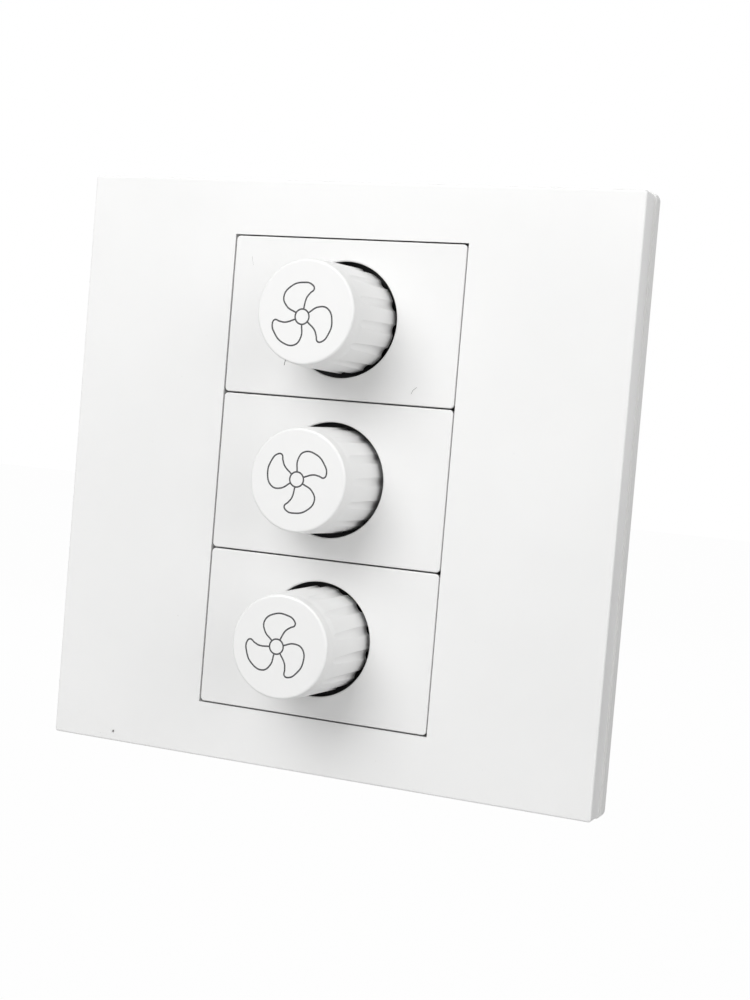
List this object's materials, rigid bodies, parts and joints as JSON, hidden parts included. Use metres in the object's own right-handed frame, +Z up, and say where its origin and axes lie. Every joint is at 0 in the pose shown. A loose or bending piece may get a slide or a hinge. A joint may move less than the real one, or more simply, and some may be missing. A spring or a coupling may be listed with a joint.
{
  "type": "fan speed control switch",
  "caption": "Square white wall plate fan speed control: stacked modules, each with a fluted push-on knob on a potentiometer and its own rear case, behind a clip-on panel.",
  "frame": {"origin": "midpoint of the two wall-box screw slots, on the wall plane at the back of the frame's rim", "axes": "+X to the right seen from the room, +Y into the wall, +Z up"},
  "size_m": [0.0866, 0.0418, 0.0866],
  "materials": {
    "panel_white": "satin white polycarbonate",
    "frame_white": "satin white polycarbonate",
    "face_white": "satin white polycarbonate",
    "knob_white": "semi-gloss white moulding",
    "case_black": "fine matt black nylon",
    "bush_zinc": "die-cast zinc",
    "plated_steel": "zinc-plated steel",
    "phenolic_brown": "phenolic paper laminate",
    "tinned_brass": "tinned brass",
    "rotor_nylon": "natural nylon",
    "spring_brass": "spring brass",
    "board_green": "solder-masked glass fibre",
    "triac_epoxy": "moulded epoxy with a tinned tab",
    "sink_aluminium": "mill-finish sheet",
    "capacitor_yellow": "moulded box",
    "choke_ferrite": "ferrite with a lacquered copper winding",
    "clamp_brass": "machined brass"
  },
  "bodies": {
    "switch_body": {"front_panel": "panel_white", "mounting_frame": "frame_white", "module_face_top": "face_white", "module_case_top": "case_black", "rear_cover_top": "case_black", "pot_bush_top": "bush_zinc", "pot_washer_top": "plated_steel", "pot_nut_top": "plated_steel", "pot_wafer_top": "phenolic_brown", "pot_tags_top": "tinned_brass", "pot_can_top": "plated_steel", "circuit_board_top": "board_green", "triac_top": "triac_epoxy", "heat_sink_top": "sink_aluminium", "capacitor_top": "capacitor_yellow", "choke_top": "choke_ferrite", "terminal_clamps_top": "clamp_brass", "terminal_screws_top": "plated_steel", "module_face_middle": "face_white", "module_case_middle": "case_black", "rear_cover_middle": "case_black", "pot_bush_middle": "bush_zinc", "pot_washer_middle": "plated_steel", "pot_nut_middle": "plated_steel", "pot_wafer_middle": "phenolic_brown", "pot_tags_middle": "tinned_brass", "pot_can_middle": "plated_steel", "circuit_board_middle": "board_green", "triac_middle": "triac_epoxy", "heat_sink_middle": "sink_aluminium", "capacitor_middle": "capacitor_yellow", "choke_middle": "choke_ferrite", "terminal_clamps_middle": "clamp_brass", "terminal_screws_middle": "plated_steel", "module_face_bottom": "face_white", "module_case_bottom": "case_black", "rear_cover_bottom": "case_black", "pot_bush_bottom": "bush_zinc", "pot_washer_bottom": "plated_steel", "pot_nut_bottom": "plated_steel", "pot_wafer_bottom": "phenolic_brown", "pot_tags_bottom": "tinned_brass", "pot_can_bottom": "plated_steel", "circuit_board_bottom": "board_green", "triac_bottom": "triac_epoxy", "heat_sink_bottom": "sink_aluminium", "capacitor_bottom": "capacitor_yellow", "choke_bottom": "choke_ferrite", "terminal_clamps_bottom": "clamp_brass", "terminal_screws_bottom": "plated_steel"},
    "top_control": {"knob_top": "knob_white", "pot_shaft_top": "rotor_nylon", "pot_wiper_top": "spring_brass"},
    "middle_control": {"knob_middle": "knob_white", "pot_shaft_middle": "rotor_nylon", "pot_wiper_middle": "spring_brass"},
    "bottom_control": {"knob_bottom": "knob_white", "pot_shaft_bottom": "rotor_nylon", "pot_wiper_bottom": "spring_brass"}
  },
  "joints": [
    {"name": "top_knob_turn", "type": "hinge", "parent": "switch_body", "child": "top_control", "pos_m": [0, -0.007, 0.0232], "axis": [0, 1, 0], "range_deg": [-3, 297]},
    {"name": "middle_knob_turn", "type": "hinge", "parent": "switch_body", "child": "middle_control", "pos_m": [0, -0.007, 0], "axis": [0, 1, 0], "range_deg": [-70, 230]},
    {"name": "bottom_knob_turn", "type": "hinge", "parent": "switch_body", "child": "bottom_control", "pos_m": [0, -0.007, -0.0232], "axis": [0, 1, 0], "range_deg": [-31, 269]}
  ]
}
